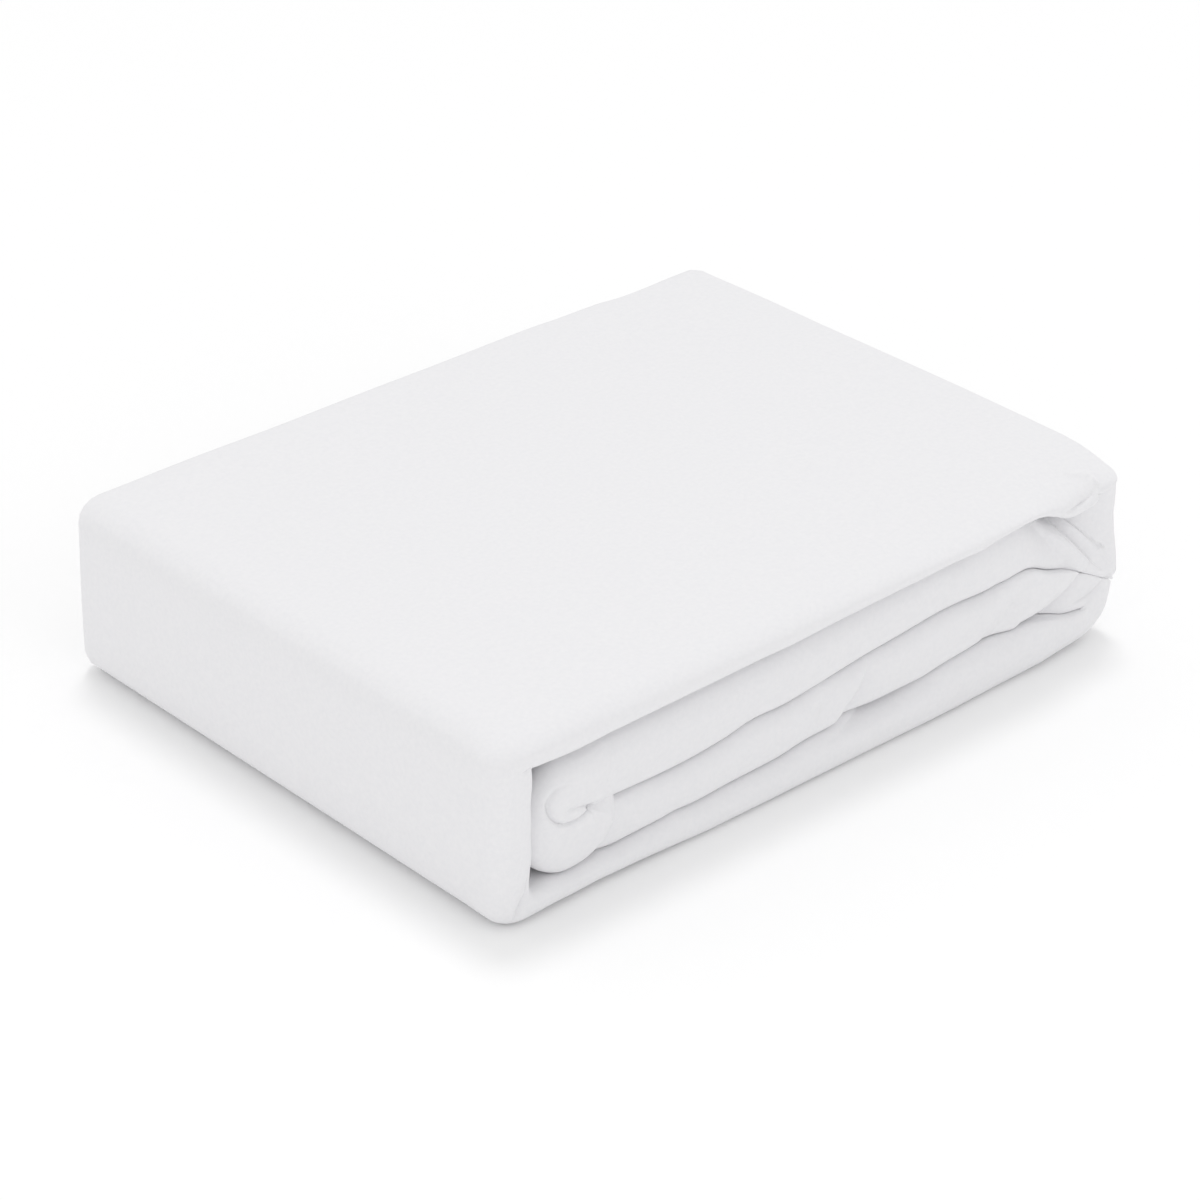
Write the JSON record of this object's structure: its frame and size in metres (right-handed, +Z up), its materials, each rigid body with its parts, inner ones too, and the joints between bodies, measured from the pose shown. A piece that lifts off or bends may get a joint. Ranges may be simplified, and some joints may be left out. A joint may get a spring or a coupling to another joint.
{
  "type": "folded mattress protector",
  "caption": "Folded mattress protector of white brushed cotton: a flat-folded strip that wraps round its own tucked-in ends, with soft rolled folds along its open front.",
  "frame": {"origin": "middle of the base, at the height of the surface that the pack lies on", "axes": "+X along the pack from its closed left end to its right end, +Y from the open front to the back, +Z up"},
  "size_m": [0.358, 0.28, 0.0849],
  "materials": {
    "brushed_cotton": "matt white with a short brushed nap"
  },
  "bodies": {
    "root": {"protector_cloth": "brushed_cotton"}
  },
  "joints": []
}
